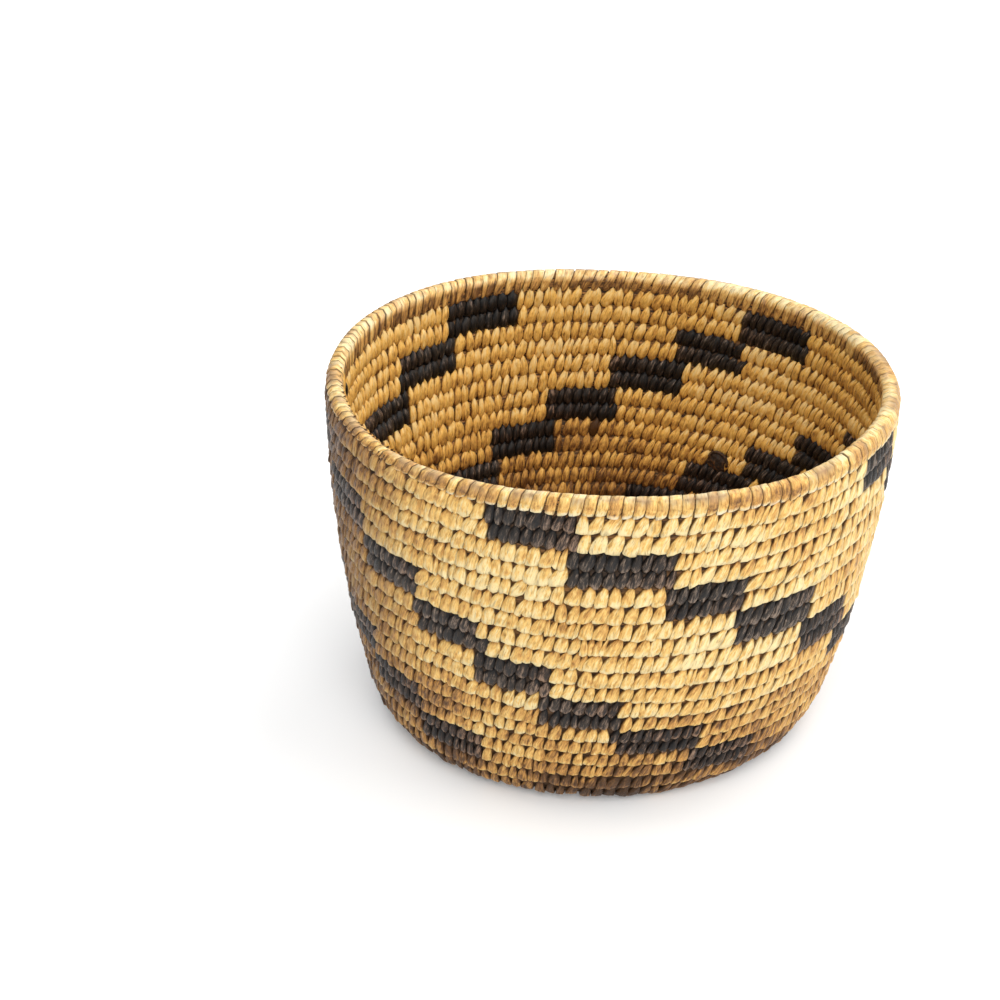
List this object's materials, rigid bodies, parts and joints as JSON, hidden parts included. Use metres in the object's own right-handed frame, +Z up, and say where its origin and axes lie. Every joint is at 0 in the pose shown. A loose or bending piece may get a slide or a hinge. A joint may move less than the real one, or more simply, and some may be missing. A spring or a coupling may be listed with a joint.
{
  "type": "coiled basket",
  "caption": "Round coiled basket with a flat base, gently flared wall, level rim and stepped dark blocks sewn round it.",
  "frame": {"origin": "on the floor plane, under the knot at the middle of the base", "axes": "+Z up through the open top; the picture looks along +Y"},
  "size_m": [0.1624, 0.1598, 0.1063],
  "materials": {
    "light_splint": "matte",
    "dark_splint": "matte",
    "rim_splint": "matte",
    "knot_splint": "matte"
  },
  "bodies": {
    "root": {"base_start": "knot_splint", "base_coil": "light_splint", "wall_course_01": "light_splint", "wall_course_02": "light_splint", "wall_course_03": "light_splint", "wall_course_04": "light_splint", "wall_course_05": "light_splint", "wall_course_06": "light_splint", "wall_course_07": "light_splint", "wall_course_08": "light_splint", "wall_course_09": "light_splint", "wall_course_10": "light_splint", "wall_course_11": "light_splint", "wall_course_12": "light_splint", "wall_course_13": "light_splint", "wall_course_14": "light_splint", "wall_course_15": "light_splint", "wall_course_16": "light_splint", "wall_course_17": "light_splint", "wall_course_18": "light_splint", "wall_course_19": "light_splint", "rim_course": "rim_splint"}
  },
  "joints": []
}
